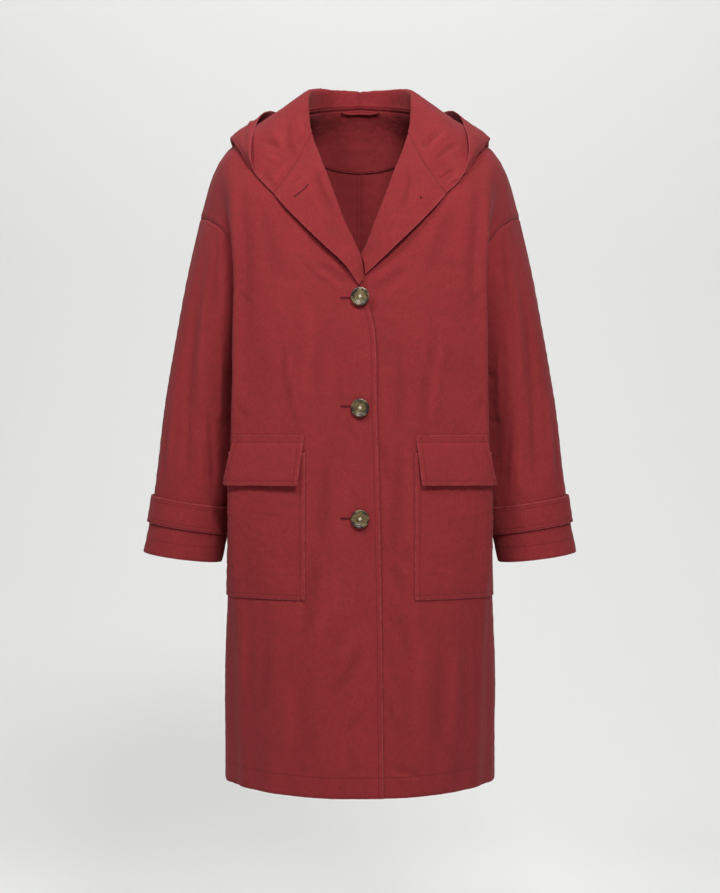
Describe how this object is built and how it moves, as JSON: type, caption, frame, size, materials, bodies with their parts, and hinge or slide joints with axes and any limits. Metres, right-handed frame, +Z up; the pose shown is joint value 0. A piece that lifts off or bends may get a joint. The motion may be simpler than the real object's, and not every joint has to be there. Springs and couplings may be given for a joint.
{
  "type": "hooded coat",
  "caption": "Mid-length hooded cotton coat, single breasted, with lapels, patch pockets with flaps, cuff straps and horn buttons, shown filled out as it is worn.",
  "frame": {"origin": "middle of the neck, level with the side of the neckline, where the wearer's neck and shoulders hold the coat up", "axes": "+Z up, +Y towards the back of the coat, +X towards the wearer's left"},
  "size_m": [0.637, 0.3686, 1.0205],
  "materials": {
    "shell_cotton": "matt cotton twill, garment washed",
    "button_horn": "polished horn, mottled brown and grey"
  },
  "bodies": {
    "root": {"back_left": "shell_cotton", "back_neck_facing": "shell_cotton", "back_right": "shell_cotton", "button_1": "button_horn", "button_2": "button_horn", "button_3": "button_horn", "cuff_strap_left": "shell_cotton", "cuff_strap_right": "shell_cotton", "front_left": "shell_cotton", "front_right": "shell_cotton", "hanger_loop": "shell_cotton", "hood_left": "shell_cotton", "hood_right": "shell_cotton", "lapel_left": "shell_cotton", "lapel_right": "shell_cotton", "pocket_flap_left": "shell_cotton", "pocket_flap_right": "shell_cotton", "pocket_left": "shell_cotton", "pocket_right": "shell_cotton", "sleeve_back_left": "shell_cotton", "sleeve_back_right": "shell_cotton", "sleeve_front_left": "shell_cotton", "sleeve_front_right": "shell_cotton"}
  },
  "joints": []
}
